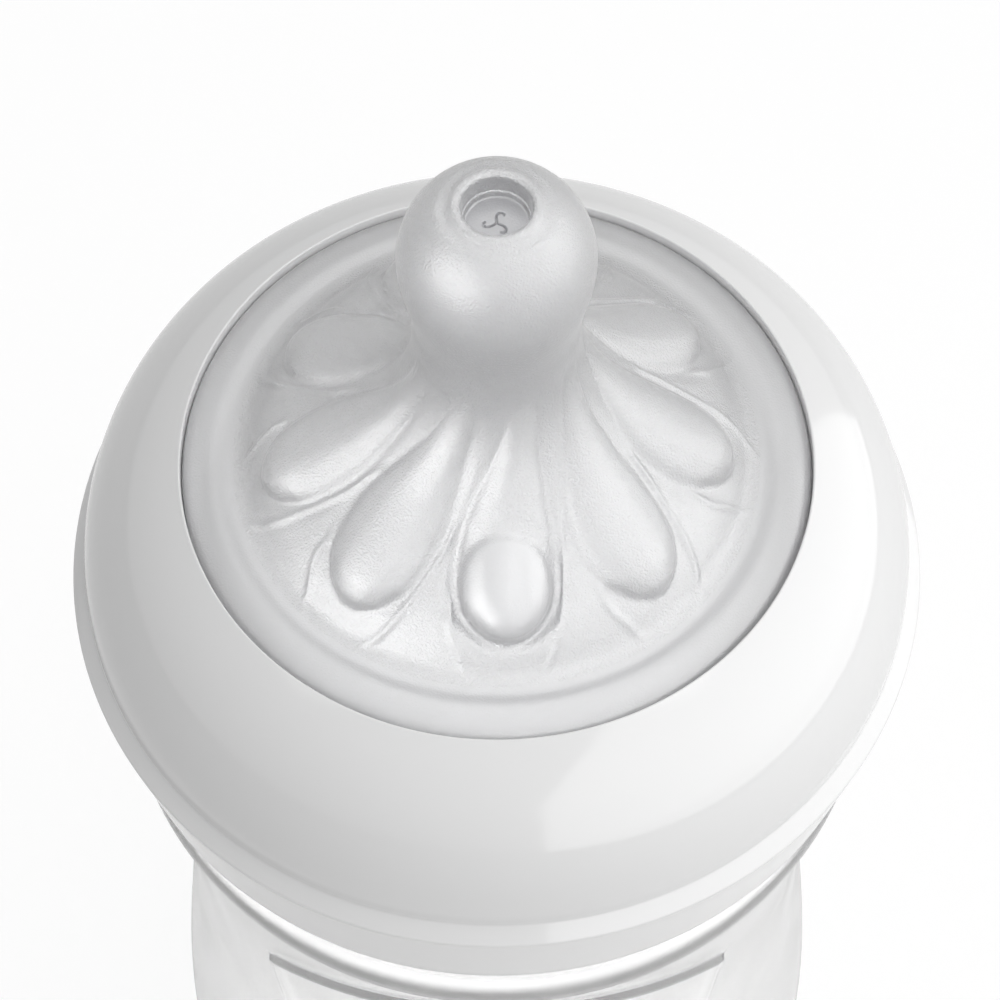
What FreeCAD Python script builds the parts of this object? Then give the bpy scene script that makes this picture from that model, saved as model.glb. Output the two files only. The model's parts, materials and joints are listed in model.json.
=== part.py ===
import FreeCAD, Part
import math
import os

# Wide-neck baby bottle in three mouldings: a clear bottle, a white screw ring and a soft teat.
# Millimetres, +Z up, origin at the middle of the base that the bottle stands on.

# Clearances
collar_clearance = 0.3      # round the teat, inside the ring
thread_clearance = 0.6      # between thread crests and the wall that they face
flank_clearance = 0.7       # between thread flanks, along the axis
ring_gap = 1.7              # under the ring, above the bottle's shoulder

# Bottle body
foot_radius = 27.5          # outside of the flat ring that it stands on
foot_width = 5.0
push_up = 1.2               # hollow in the middle of the base
base_corner = 6.7           # rounding between foot and belly
belly_height = 24.0         # top of the straight belly
waist_radius = 30.3
waist_height = 70.0
shoulder_step = 1.8         # how far the top of the body stands out of the neck
bead_height = 100.5         # middle of the shoulder bead
bead_overhang = 2.1         # how far the bead stands out of the body
bead_rounding = 5.5
body_wall = 2.0
base_wall = 2.0

# Raised panel on the front of the body
panel_rise = 0.4
panel_half_width = 20.5
panel_foot_half_width = 17.0
panel_height = 46.0         # between its lower and upper corners
panel_arch = 10.0           # rise of the upper edge over its corners
panel_sag = 5.0             # drop of the lower edge under its corners
panel_drop = 4.0            # from the bead down to the top of the arch

# Bottle neck
neck_radius = 29.2
neck_height = 25.1          # from the middle of the bead to the rim
rim_taper_height = 6.0
rim_taper = 0.3             # how much narrower the neck is at its rim
seal_width = 2.0            # contact between rim and teat flange

# Two-start screw thread
thread_lead = 12.0
thread_starts = 2
thread_depth = 1.6
thread_sweep = 150.0        # degrees covered by each ridge
thread_lift = 3.6           # lowest ridge above the ring's lower edge
thread_root = 0.4           # how far a ridge is rooted in its wall
crest_share = 0.55          # width of a ridge's crest over that of its base

# Screw ring
ring_wall = 2.35
ring_edge_rounding = 0.8
skirt_height = 11.1
skirt_flare = 1.7           # how far the skirt widens upwards
ledge_width = 1.3           # ledge that a push-on cap stands on
ledge_height = 1.2
cap_seat_height = 1.4       # short round wall above the ledge
lip_overlap = 3.6           # how far the lip reaches in over the teat's flange
lip_height = 5.4
dome_bulge = 1.95
seat_cone_height = 6.1      # cone inside the dome, under the lip
lip_rounding = 0.5

# Teat
flange_thickness = 3.0
teat_wall = 2.1
collar_rounding = 1.2
rim_width = 3.1             # from the collar to the valley inside the rim
rim_rise = 0.1              # top of the rim over the ring's opening
valley_depth = 0.4
dome_step = 2.0             # from the valley to the edge of the petalled dome
dome_edge_rise = 1.6
flare_radius = 14.0
flare_rise = 5.2
throat_radius = 9.6
throat_rise = 9.2
stem_radius = 6.25
stem_rise = 16.0
bulb_radius = 7.15
bulb_rise = 26.1
recess_radius = 2.3
tip_lip = 1.0               # flat ring round the recess
recess_depth = 2.2
tip_wall = 1.8
slit_width = 0.3
slit_length = 1.1
slit_arms = 3

# Petals of the teat
petal_count = 9
petal_turn = 2.6            # degrees from the front to the middle of the first petal
petal_width = 7.7
petal_thickness = 2.0
petal_tail_slope = 0.25     # half width gained per millimetre at a petal's tail
petal_tail_reach = 1.2      # how far a petal's tail runs past the throat, inwards and upwards
petal_end_inset = 0.7       # from the dome's edge in to a petal's end
petal_end_rise = 0.6        # of a petal's end over the dome's edge
petal_sink = 0.3            # depth of a petal's axis under the straight line between its ends

FULL_TURN = 360.0
AXIS_FOOT = FreeCAD.Vector(0, 0, 0)
UP = FreeCAD.Vector(0, 0, 1)
INWARD = FreeCAD.Vector(-1, 0, 0)
FRONT_ANGLE = -90.0
SIN_45 = math.sin(math.pi / 4)
BEAD_APPROACH = FreeCAD.Vector(0.06, 0, 1)      # way of the body's side as it meets the bead
SHOULDER_APPROACH = FreeCAD.Vector(-1, 0, 0.4)  # way of the inner shoulder as it meets the neck

# Levels and radii that follow from the sizes above
belly_radius = foot_radius + base_corner
body_top_radius = neck_radius + shoulder_step
bead_reach = body_top_radius + bead_overhang
bead_centre = bead_reach - bead_rounding
rim_level = bead_height + neck_height
rim_radius = neck_radius - rim_taper
flange_radius = rim_radius - collar_clearance
neck_bore = flange_radius - seal_width
lip_level = rim_level + flange_thickness
opening_level = lip_level + lip_height
opening_radius = flange_radius - lip_overlap
ring_bore = neck_radius + thread_depth + thread_clearance
ring_foot_radius = ring_bore + ring_wall
skirt_radius = ring_foot_radius + skirt_flare
cap_seat_radius = skirt_radius - ledge_width
collar_radius = opening_radius - collar_clearance
valley_radius = collar_radius - rim_width
dome_radius = valley_radius - dome_step
tip_radius = recess_radius + tip_lip


def at(radius, level):
    """A point of a half section, in the plane y = 0."""
    return FreeCAD.Vector(radius, 0, level)


def line(start, end):
    return Part.LineSegment(start, end).toShape()


def polyline(points):
    """The straight edges from each point to the next."""
    return [line(start, end) for start, end in zip(points, points[1:])]


def arc(start, middle, end):
    return Part.Arc(start, middle, end).toShape()


def bulged_arc(start, end, bulge):
    """An arc whose middle stands off its chord, to the left of the way from start to end."""
    chord = end - start
    side = FreeCAD.Vector(-chord.z, 0, chord.x).normalize()
    return arc(start, (start + end) * 0.5 + side * bulge, end)


def spline(points, start_way, end_way):
    """A smooth curve through the points that leaves the first and reaches the last in the given ways."""
    lengths = [0.0]
    for before, after in zip(points, points[1:]):
        lengths.append(lengths[-1] + (after - before).Length)
    curve = Part.BSplineCurve()
    curve.interpolate(
        Points=points,
        Parameters=lengths,
        InitialTangent=start_way,
        FinalTangent=end_way,
        Scale=False,
    )
    return curve.toShape()


def revolved(edges):
    """The solid that a closed half section makes about the axis."""
    face = Part.Face(Part.Wire(edges))
    return face.revolve(AXIS_FOOT, UP, FULL_TURN)


def circle_height(radius, centre, reach):
    """Height over a circle's centre level where the circle is at the given distance from the axis."""
    return math.sqrt(radius ** 2 - (reach - centre) ** 2)


bead_top = bead_height + circle_height(bead_rounding, bead_centre, neck_radius)
bead_foot = bead_height - circle_height(bead_rounding, bead_centre, body_top_radius)
ring_level = bead_top + ring_gap
skirt_level = ring_level + skirt_height
ledge_level = skirt_level + ledge_height
cap_seat_level = ledge_level + cap_seat_height
tip_rise = bulb_rise + circle_height(bulb_radius, 0, tip_radius)


def body_side(inset):
    """The wavy side of the body, from the top of the belly to the foot of the bead."""
    points = [
        at(belly_radius - inset, belly_height),
        at(waist_radius - inset, waist_height),
        at(body_top_radius - inset, bead_foot),
    ]
    return spline(points, UP, BEAD_APPROACH)


def bottle_block():
    """The bottle without its hollow."""
    foot_inner = at(foot_radius - foot_width, 0)
    foot_outer = at(foot_radius, 0)
    corner_middle = at(foot_radius + base_corner * SIN_45, base_corner * (1 - SIN_45))
    corner_end = at(belly_radius, base_corner)
    bead_start = at(body_top_radius, bead_foot)
    bead_end = at(neck_radius, bead_top)
    taper_start = at(neck_radius, rim_level - rim_taper_height)
    rim_outer = at(rim_radius, rim_level)
    rim_centre = at(0, rim_level)
    base_centre = at(0, push_up)
    edges = [
        line(rim_centre, base_centre),
        line(base_centre, foot_inner),
        line(foot_inner, foot_outer),
        arc(foot_outer, corner_middle, corner_end),
        line(corner_end, at(belly_radius, belly_height)),
        body_side(0),
        arc(bead_start, at(bead_reach, bead_height), bead_end),
        line(bead_end, taper_start),
        line(taper_start, rim_outer),
        line(rim_outer, rim_centre),
    ]
    return revolved(edges)


def bottle_hollow():
    """The space inside the bottle, open at the rim."""
    floor_level = push_up + base_wall
    inner_belly = belly_radius - body_wall
    corner = base_corner - body_wall
    inner_bead = bead_rounding - body_wall
    corner_start = at(inner_belly - corner, floor_level)
    corner_middle = at(inner_belly - corner * (1 - SIN_45), floor_level + corner * (1 - SIN_45))
    corner_end = at(inner_belly, floor_level + corner)
    shoulder_end = at(neck_bore, bead_height + inner_bead)
    edges = [
        line(at(0, rim_level), at(0, floor_level)),
        line(at(0, floor_level), corner_start),
        arc(corner_start, corner_middle, corner_end),
        line(corner_end, at(inner_belly, belly_height)),
        body_side(body_wall),
        spline(
            [at(body_top_radius - body_wall, bead_foot), at(bead_reach - body_wall, bead_height), shoulder_end],
            BEAD_APPROACH,
            SHOULDER_APPROACH,
        ),
        line(shoulder_end, at(neck_bore, rim_level)),
        line(at(neck_bore, rim_level), at(0, rim_level)),
    ]
    return revolved(edges)


def front_panel():
    """The raised panel on the front of the body, with its arched upper edge."""
    upper = bead_foot - panel_drop - panel_arch
    lower = upper - panel_height
    top_left = at(-panel_half_width, upper)
    top_right = at(panel_half_width, upper)
    foot_right = at(panel_foot_half_width, lower)
    foot_left = at(-panel_foot_half_width, lower)
    outline = [
        arc(top_left, at(0, upper + panel_arch), top_right),
        line(top_right, foot_right),
        arc(foot_right, at(0, lower - panel_sag), foot_left),
        line(foot_left, top_left),
    ]
    reach = FreeCAD.Vector(0, -(belly_radius + bead_reach), 0)
    window = Part.Face(Part.Wire(outline)).extrude(reach)
    skin = polyline([
        at(body_top_radius + panel_rise, bead_foot),
        at(0, bead_foot),
        at(0, base_corner),
        at(belly_radius + panel_rise, base_corner),
        at(belly_radius + panel_rise, belly_height),
    ])
    skin.append(body_side(-panel_rise))
    return revolved(skin).common(window)


def thread_ridges(wall_radius, outward, first_level, first_angle):
    """The ridges of one thread, standing out of a round wall, as a list of solids."""
    base = thread_lead / thread_starts / 2 - flank_clearance
    crest = base * crest_share
    rise = thread_lead * thread_sweep / FULL_TURN
    root_radius = wall_radius - outward * thread_root
    crest_radius = wall_radius + outward * thread_depth
    section = Part.Wire(polyline([
        at(root_radius, -base / 2),
        at(crest_radius, -crest / 2),
        at(crest_radius, crest / 2),
        at(root_radius, base / 2),
        at(root_radius, -base / 2),
    ]))
    path = Part.Wire(Part.makeHelix(thread_lead, rise, wall_radius))
    ridge = path.makePipeShell([section], True, True)
    ridges = []
    for start in range(thread_starts):
        turned = ridge.copy()
        turned.rotate(AXIS_FOOT, UP, first_angle + start * FULL_TURN / thread_starts)
        turned.translate(UP * first_level)
        ridges.append(turned)
    return ridges


def bottle():
    neck_thread = thread_ridges(neck_radius, 1, ring_level + thread_lift, 0)
    shell = bottle_block().fuse([front_panel()] + neck_thread)
    return shell.cut(bottle_hollow()).removeSplitter()


def screw_ring():
    edge_inner = at(ring_foot_radius - ring_edge_rounding, ring_level)
    edge_middle = at(
        ring_foot_radius - ring_edge_rounding * (1 - SIN_45),
        ring_level + ring_edge_rounding * (1 - SIN_45),
    )
    edge_outer = at(ring_foot_radius, ring_level + ring_edge_rounding)
    cone_foot = at(ring_bore, lip_level - seat_cone_height)
    seat_edge = at(flange_radius + collar_clearance, lip_level)
    lip_foot = at(opening_radius, lip_level)
    lip_top = at(opening_radius, opening_level - lip_rounding)
    lip_outer = at(opening_radius + lip_rounding, opening_level)
    cap_seat_top = at(cap_seat_radius, cap_seat_level)
    edges = [
        line(at(ring_bore, ring_level), edge_inner),
        arc(edge_inner, edge_middle, edge_outer),
    ]
    edges += polyline([
        edge_outer,
        at(skirt_radius, skirt_level),
        at(cap_seat_radius, ledge_level),
        cap_seat_top,
    ])
    edges.append(bulged_arc(cap_seat_top, lip_outer, -dome_bulge))
    edges += polyline([
        lip_outer,
        lip_top,
        lip_foot,
        seat_edge,
        cone_foot,
        at(ring_bore, ring_level),
    ])
    half_pitch_turn = FULL_TURN / thread_starts / 2
    ring_thread = thread_ridges(ring_bore, -1, ring_level + thread_lift, half_pitch_turn)
    return revolved(edges).fuse(ring_thread).removeSplitter()


def teat_skin(inset):
    """Points on the teat's skin from the valley inside its rim to the stem, moved into the wall by the inset."""
    skin = [
        at(collar_radius - collar_rounding, opening_level + rim_rise),
        at(valley_radius, opening_level - valley_depth),
        at(dome_radius, opening_level + dome_edge_rise),
        at(flare_radius, opening_level + flare_rise),
        at(throat_radius, opening_level + throat_rise),
        at(stem_radius, opening_level + stem_rise),
    ]
    ways = [(after - before).normalize() for before, after in zip(skin, skin[2:])] + [UP]
    return [point + at(-way.z, way.x) * inset for point, way in zip(skin[1:], ways)]


def teat_block():
    """The teat without its hollow, tip recess and petals."""
    rim_top = at(collar_radius - collar_rounding, opening_level + rim_rise)
    collar_top = at(collar_radius, rim_top.z - collar_rounding)
    turn = collar_rounding * (1 - SIN_45)
    skin = teat_skin(0)
    bulb_side = at(bulb_radius, opening_level + bulb_rise)
    tip_edge = at(tip_radius, opening_level + tip_rise)
    bulb_turn = math.asin(tip_radius / bulb_radius) / 2 + math.pi / 4
    bulb_middle = at(bulb_radius * math.sin(bulb_turn), bulb_side.z + bulb_radius * math.cos(bulb_turn))
    outline = polyline([
        tip_edge,
        at(0, tip_edge.z),
        at(0, rim_level),
        at(flange_radius, rim_level),
        at(flange_radius, lip_level),
        at(collar_radius, lip_level),
        collar_top,
    ])
    outline += [
        arc(collar_top, at(collar_radius - turn, rim_top.z - turn), rim_top),
        spline([rim_top] + skin, INWARD, UP),
        spline([skin[-1], bulb_side], UP, UP),
        arc(bulb_side, bulb_middle, tip_edge),
    ]
    return revolved(outline)


def teat_hollow():
    """The space inside the teat, open towards the bottle."""
    collar_foot = at(collar_radius - teat_wall, rim_level)
    collar_top = at(collar_foot.x, lip_level)
    skin = teat_skin(teat_wall)
    bulb_side = at(bulb_radius - teat_wall, opening_level + bulb_rise)
    inner_tip = at(0, opening_level + tip_rise - recess_depth - tip_wall)
    outline = polyline([inner_tip, at(0, rim_level), collar_foot, collar_top])
    outline += [
        spline([collar_top] + skin, UP, UP),
        spline([skin[-1], bulb_side], UP, UP),
        spline([bulb_side, inner_tip], UP, INWARD),
    ]
    return revolved(outline)


def petals():
    """The teardrop pads round the teat, as a list of solids."""
    tail = at(throat_radius - petal_tail_reach, opening_level + throat_rise + petal_tail_reach - petal_sink)
    end = at(dome_radius - petal_end_inset, opening_level + dome_edge_rise + petal_end_rise - petal_sink)
    length = (end - tail).Length
    head = petal_width / 2
    belly = FreeCAD.Vector(length - head, 0, head)
    turn = head * SIN_45
    outline = [
        spline([AXIS_FOOT, belly], at(1, petal_tail_slope), at(1, 0)),
        arc(belly, FreeCAD.Vector(length - head + turn, 0, turn), FreeCAD.Vector(length, 0, 0)),
        line(FreeCAD.Vector(length, 0, 0), AXIS_FOOT),
    ]
    drop = Part.Face(Part.Wire(outline)).revolve(AXIS_FOOT, FreeCAD.Vector(1, 0, 0), FULL_TURN)
    flatten = FreeCAD.Matrix()
    flatten.scale(1, 1, petal_thickness / petal_width)
    pad = drop.transformGeometry(flatten)
    pad.rotate(AXIS_FOOT, FreeCAD.Vector(0, 1, 0), math.degrees(math.atan2(tail.z - end.z, end.x - tail.x)))
    pad.translate(tail)
    pads = []
    for index in range(petal_count):
        turned = pad.copy()
        turned.rotate(AXIS_FOOT, UP, FRONT_ANGLE + petal_turn + index * FULL_TURN / petal_count)
        pads.append(turned)
    return pads


def tip_cuts():
    """The round recess in the tip and the flow slit under it, as a list of solids."""
    floor = opening_level + tip_rise - recess_depth
    cuts = [Part.makeCylinder(recess_radius, recess_depth, at(0, floor))]
    for index in range(slit_arms):
        arm = Part.makeBox(slit_length, slit_width, tip_wall + recess_depth)
        arm.translate(FreeCAD.Vector(0, -slit_width / 2, floor - tip_wall))
        arm.rotate(AXIS_FOOT, UP, index * FULL_TURN / slit_arms)
        cuts.append(arm)
    return cuts


def teat():
    return teat_block().fuse(petals()).cut([teat_hollow()] + tip_cuts()).removeSplitter()


def save(shape, name):
    shape.exportStep(os.path.join("parts", name + ".step"))


os.makedirs("parts", exist_ok=True)
save(bottle(), "bottle")
save(screw_ring(), "screw_ring")
save(teat(), "teat")
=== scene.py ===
import json
import math

import bpy
import numpy as np
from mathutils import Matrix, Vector


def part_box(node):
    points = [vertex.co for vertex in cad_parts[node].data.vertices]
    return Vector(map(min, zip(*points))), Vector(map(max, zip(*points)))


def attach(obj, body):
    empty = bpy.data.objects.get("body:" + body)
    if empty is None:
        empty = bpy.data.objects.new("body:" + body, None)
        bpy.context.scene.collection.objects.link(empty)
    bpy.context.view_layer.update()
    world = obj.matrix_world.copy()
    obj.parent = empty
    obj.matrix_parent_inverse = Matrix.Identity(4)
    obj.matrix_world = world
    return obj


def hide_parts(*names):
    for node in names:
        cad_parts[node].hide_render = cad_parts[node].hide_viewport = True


# Wide-neck baby bottle: a clear bottle, a glossy white screw ring and a frosted soft teat.
# Sizes are millimetres in the part's own frame, and each mesh is made in metres.

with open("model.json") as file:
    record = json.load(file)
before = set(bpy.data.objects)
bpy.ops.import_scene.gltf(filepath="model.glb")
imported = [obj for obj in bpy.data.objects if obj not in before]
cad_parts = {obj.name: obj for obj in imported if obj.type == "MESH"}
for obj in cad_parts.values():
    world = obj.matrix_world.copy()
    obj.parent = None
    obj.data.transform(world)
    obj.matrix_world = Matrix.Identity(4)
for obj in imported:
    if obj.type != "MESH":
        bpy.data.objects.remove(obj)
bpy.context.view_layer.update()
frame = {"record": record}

MM = 0.001
FULL_TURN = 2 * math.pi
FRONT = math.radians(-90)
UP = (0, 1)
DOWN = (0, -1)
INWARD = (-1, 0)
OUTWARD = (1, 0)
SAME = 1e-6                 # millimetres within which two points are one

# Columns of each mesh round the axis, which are doubled or fourfold where there is relief
RING_COLUMNS = 360
TEAT_COLUMNS = 150
BOTTLE_COLUMNS = 192


def node_reach(node):
    """A node's lowest level, highest level and largest radius."""
    low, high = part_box(node)
    return low.z / MM, high.z / MM, high.x / MM


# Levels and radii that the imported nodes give
ring_level, opening_level, skirt_radius = node_reach("screw_ring")
rim_level, tip_level, flange_radius = node_reach("teat")
belly_radius = node_reach("bottle")[2]
cap_seat = next(mount for mount in frame["record"]["mounts"] if mount["name"] == "cap_seat")
cap_seat_radius = cap_seat["dims"]["r_mm"]
cap_seat_foot = cap_seat["pos_m"][2] / MM - cap_seat["dims"]["length_mm"] / 2
cap_seat_top = cap_seat_foot + cap_seat["dims"]["length_mm"]

# Screw ring
opening_radius = 25.0
ring_foot_radius = 33.75
ring_bore = 31.4
skirt_height = 11.1
dome_bulge = 1.95
lip_level = 128.6
seat_radius = 28.9
seat_cone_height = 6.1
bore_plain = 1.0            # height of the bore's stretch without thread at each end
ledge_rounding = 0.3
skirt_rounding = 0.35
ring_foot_rounding = 0.8
bore_rounding = 0.4
seat_rounding = 0.6
lip_rounding = 0.3
opening_rounding = 0.12
opening_slope = (0.9, -0.47)  # from the opening's edge to the start of the dome

# Screw thread, shared by bottle and ring
neck_radius = 29.2
thread_lead = 12.0
thread_starts = 2
thread_depth = 1.6
thread_sweep = 150.0
thread_lift = 3.6
thread_base = 2.6
thread_crest = 1.2
thread_fade = 8.0           # degrees over which a ridge rises at its ends

# Bottle
foot_radius = 27.5
foot_width = 5.0
push_up = 1.2
base_corner = 6.7
belly_height = 24.0
waist_radius = 30.3
waist_height = 70.0
body_top_radius = 31.0
bead_height = 100.5
bead_centre = 27.6
bead_rounding = 5.5
bead_foot = 96.18
bead_to_neck = 5.6          # from the bead's middle up to the foot of the neck
bead_shoulder = (2.4, 4.9)  # from the bead's middle to where its round starts
crease_point = (31.4, 96.4)
body_top = 95.2             # where the rounding under the bead ends
body_wall = 2.0
floor_level = 3.2
neck_bore = 26.6
rim_radius = 28.9
rim_cone = 6.0              # height over which the neck narrows to its rim
rim_rounding = 0.5
neck_rounding = 0.3
foot_rounding = 0.8

# Raised front panel
panel_rise = 0.4
panel_step = 0.35            # width of the step round the panel
panel_half_width = 20.5
panel_foot_half_width = 17.0
panel_height = 46.0
panel_arch = 10.0
panel_sag = 5.0
panel_drop = 4.0
PANEL_COLUMNS = 38          # from the panel's middle to its edge
PANEL_FIELD = math.radians(75)  # how far round from the front the mesh is drawn to the panel
PANEL_SLACK = 0.01          # more than the mesh rounds a level

# Teat
collar_radius = 24.92
teat_wall = 2.1
skin_top = 19.0             # levels of the teat's outline over the ring's opening
collar_top = -1.15
collar_rounding = 0.3
flange_rounding = 0.4
stem_radius = 6.25
bulb_radius = 7.15
bulb_rise = 26.1
recess_radius = 2.3
recess_depth = 2.2
tip_lip_radius = 4.4
tip_wall = 1.8
petal_count = 9
petal_turn = 2.6            # degrees from the front to the middle of the first petal
petal_outer_reach = 18.6
petal_length = 20.5
petal_half_width = 3.85
petal_height = 1.5
petal_twist = 16.4          # degrees that a petal's tail is turned from its outer end
pad_reach = 15.3            # smooth egg-shaped pad on the front petal
pad_half_width = 3.55
pad_outer_length = 3.3
pad_inner_length = 5.0
pad_height = 0.62
rib_width = 0.45
rib_height = 0.2
slit_arms = 3
slit_width = 0.12
slit_depth = 0.25
slit_reach = 1.2            # round the middle of the tip, where the mesh is finer


def unit(vector):
    vector = np.array(vector, float)
    return vector / np.linalg.norm(vector)


def smooth(knots, start_way, end_way, spacing):
    """Points, about a spacing apart, on the curve through the knots with the given ways at its ends."""
    knots = np.array(knots, float)
    spans = np.linalg.norm(np.diff(knots, axis=0), axis=1)
    system = np.eye(len(knots))
    ways = np.zeros_like(knots)
    ways[0] = unit(start_way)
    ways[-1] = unit(end_way)
    steps = np.diff(knots, axis=0) / spans[:, None]
    for i in range(1, len(knots) - 1):
        before, after = spans[i - 1], spans[i]
        system[i, i - 1:i + 2] = after, 2 * (before + after), before
        ways[i] = 3 * (after * steps[i - 1] + before * steps[i])
    ways = np.linalg.solve(system, ways)
    points = [knots[:1]]
    for i, span in enumerate(spans):
        t = np.linspace(0, 1, max(2, round(span / spacing)) + 1)[1:, None]
        points.append(
            knots[i] * (1 + 2 * t) * (1 - t) ** 2
            + knots[i + 1] * (3 - 2 * t) * t ** 2
            + span * (ways[i] * t * (1 - t) ** 2 - ways[i + 1] * (1 - t) * t ** 2)
        )
    return np.concatenate(points)


def rounded(corners, spacing, steps=6):
    """Points along straight lines through (radius, level, rounding) corners, each rounded by an arc."""
    turns = []
    for i, (radius, level, rounding) in enumerate(corners):
        corner = np.array((radius, level))
        if not rounding:
            turns.append(corner)
            continue
        before = unit(np.array(corners[i - 1][:2]) - corner)
        after = unit(np.array(corners[i + 1][:2]) - corner)
        half = math.acos(before @ after) / 2
        centre = corner + unit(before + after) * rounding / math.sin(half)
        start = corner + before * rounding / math.tan(half) - centre
        end = corner + after * rounding / math.tan(half) - centre
        for t in np.linspace(0, 1, steps + 1):
            turns.append(centre + unit(start * (1 - t) + end * t) * rounding)
    points = [turns[0]]
    for before, after in zip(turns, turns[1:]):
        pieces = max(1, round(np.linalg.norm(after - before) / spacing))
        points += [before + (after - before) * k / pieces for k in range(1, pieces + 1)]
    return np.array(points)


def bulged(start, end, bulge, steps):
    """Points on the arc from start to end that stands a bulge off its chord, to the left of the way."""
    start, end = np.array(start, float), np.array(end, float)
    chord = end - start
    length = np.linalg.norm(chord)
    radius = length ** 2 / (8 * bulge) + bulge / 2
    side = np.array((-chord[1], chord[0])) / length
    centre = (start + end) / 2 + side * (bulge - radius)
    half = math.asin(length / 2 / radius)
    turn = np.linspace(-half, half, steps + 1)
    return centre + radius * (np.outer(np.cos(turn), side) + np.outer(np.sin(turn), chord / length))


def lathe(name, runs):
    """A closed mesh turned from a half section, given as runs of (zone, points, segments).

    The section goes down outside and up inside, so that faces point outwards. It starts and ends on the axis
    or is a closed loop. Each named zone has an attribute with the distance from the zone's start."""
    rows = []
    for zone, points, segments in runs:
        lengths = np.linalg.norm(np.diff(points, axis=0, prepend=points[:1]), axis=1).cumsum()
        for point, length in zip(points, lengths):
            if rows and np.allclose(point, rows[-1][0], atol=SAME):
                continue
            rows.append((point, 1 if point[0] < SAME else segments, zone, length))
    closed = rows[0][1] > 1
    if closed and np.allclose(rows[0][0], rows[-1][0], atol=SAME):
        rows.pop()
    places = []
    firsts = []
    zones = {zone: [] for zone, _, _ in runs if zone}
    for (radius, level), segments, zone, length in rows:
        turn = np.arange(segments) * FULL_TURN / segments
        firsts.append(sum(map(len, places)))
        places.append(np.stack([radius * np.cos(turn), radius * np.sin(turn), np.full(segments, level)], 1))
        for each, values in zones.items():
            values += [length * MM if each == zone else -1.0] * segments
    faces = []
    for i in range(len(rows) if closed else len(rows) - 1):
        k = (i + 1) % len(rows)
        upper, lower = rows[i][1], rows[k][1]
        for j in range(min(upper, lower) if min(upper, lower) > 1 else max(upper, lower)):
            faces.append(strip(firsts[i], upper, firsts[k], lower, j))
    mesh = bpy.data.meshes.new(name)
    mesh.from_pydata(np.concatenate(places) * MM, [], faces)
    for zone, values in zones.items():
        mesh.attributes.new(zone, "FLOAT", "POINT").data.foreach_set("value", values)
    mesh.shade_smooth()
    made = bpy.data.objects.new(name, mesh)
    bpy.context.scene.collection.objects.link(made)
    return made


def strip(first, upper, second, lower, j):
    """The face at step j between two rows of vertices, one of which may be finer or a single point."""
    if upper == 1:
        return [first, second + j, second + (j + 1) % lower]
    if lower == 1:
        return [first + j, second, first + (j + 1) % upper]
    fine = max(upper, lower) // min(upper, lower)
    above = fine if upper > lower else 1
    below = fine if lower > upper else 1
    down = [second + (j * below + step) % lower for step in range(below + 1)]
    back = [first + (j * above + step) % upper for step in range(above, -1, -1)]
    return down + back


def add(tree, kind, inputs=(), curve=(), **settings):
    """Adds a node with its settings, links or values for its inputs, and the points of its curve."""
    made = tree.nodes.new(kind)
    for name, value in settings.items():
        setattr(made, name, value)
    for socket, value in dict(inputs).items():
        if isinstance(value, bpy.types.Node):
            value = value.outputs[0]
        if isinstance(value, bpy.types.NodeSocket):
            tree.links.new(value, made.inputs[socket])
        else:
            made.inputs[socket].default_value = value
    if curve:
        made.mapping.clip_min_y = -1
        line = made.mapping.curves[0]
        line.points[0].location = curve[0]
        line.points[1].location = curve[-1]
        for point in curve[1:-1]:
            line.points.new(*point)
        made.mapping.update()
    return made


def geometry_tree(name, sizes):
    """An empty tree with geometry in and out and a named input for each size, and its input node."""
    tree = bpy.data.node_groups.new(name, "GeometryNodeTree")
    tree.interface.new_socket("Geometry", in_out="OUTPUT", socket_type="NodeSocketGeometry")
    tree.interface.new_socket("Geometry", in_out="INPUT", socket_type="NodeSocketGeometry")
    tree.interface.new_socket("Material", in_out="INPUT", socket_type="NodeSocketMaterial")
    for size, kind in sizes.items():
        tree.interface.new_socket(size, in_out="INPUT", socket_type="NodeSocket" + kind)
    return tree, add(tree, "NodeGroupInput")


def raise_skin(tree, given, height, zone, shiny=0.0):
    """Ends a tree: moves the zone's skin outwards, marks what is polished and gives the material."""
    inside = add(tree, "ShaderNodeMath", {0: zone, 1: 0.0}, operation="GREATER_THAN")
    normal = add(tree, "GeometryNodeInputNormal")
    offset = add(tree, "ShaderNodeVectorMath", {0: normal, "Scale": height}, operation="SCALE")
    moved = add(
        tree, "GeometryNodeSetPosition",
        {"Geometry": given.outputs["Geometry"], "Selection": inside, "Offset": offset},
    )
    marked = add(
        tree, "GeometryNodeStoreNamedAttribute",
        {"Geometry": moved, "Selection": inside, "Name": "polish", "Value": shiny},
        data_type="FLOAT", domain="POINT",
    )
    real = add(tree, "GeometryNodeRealizeInstances", {0: marked})
    dressed = add(tree, "GeometryNodeSetMaterial", {0: real, "Material": given.outputs["Material"]})
    add(tree, "NodeGroupOutput", {0: dressed})


def run_tree(piece, tree, sizes):
    """Runs a tree on a piece with these sizes, and keeps the result as the piece's plain mesh."""
    modifier = piece.modifiers.new(tree.name, "NODES")
    modifier.node_group = tree
    for item in tree.interface.items_tree:
        if item.name in sizes:
            modifier[item.identifier] = sizes[item.name]
    evaluated = piece.evaluated_get(bpy.context.evaluated_depsgraph_get())
    mesh = bpy.data.meshes.new_from_object(evaluated)
    piece.modifiers.remove(modifier)
    piece.data = mesh


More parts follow.
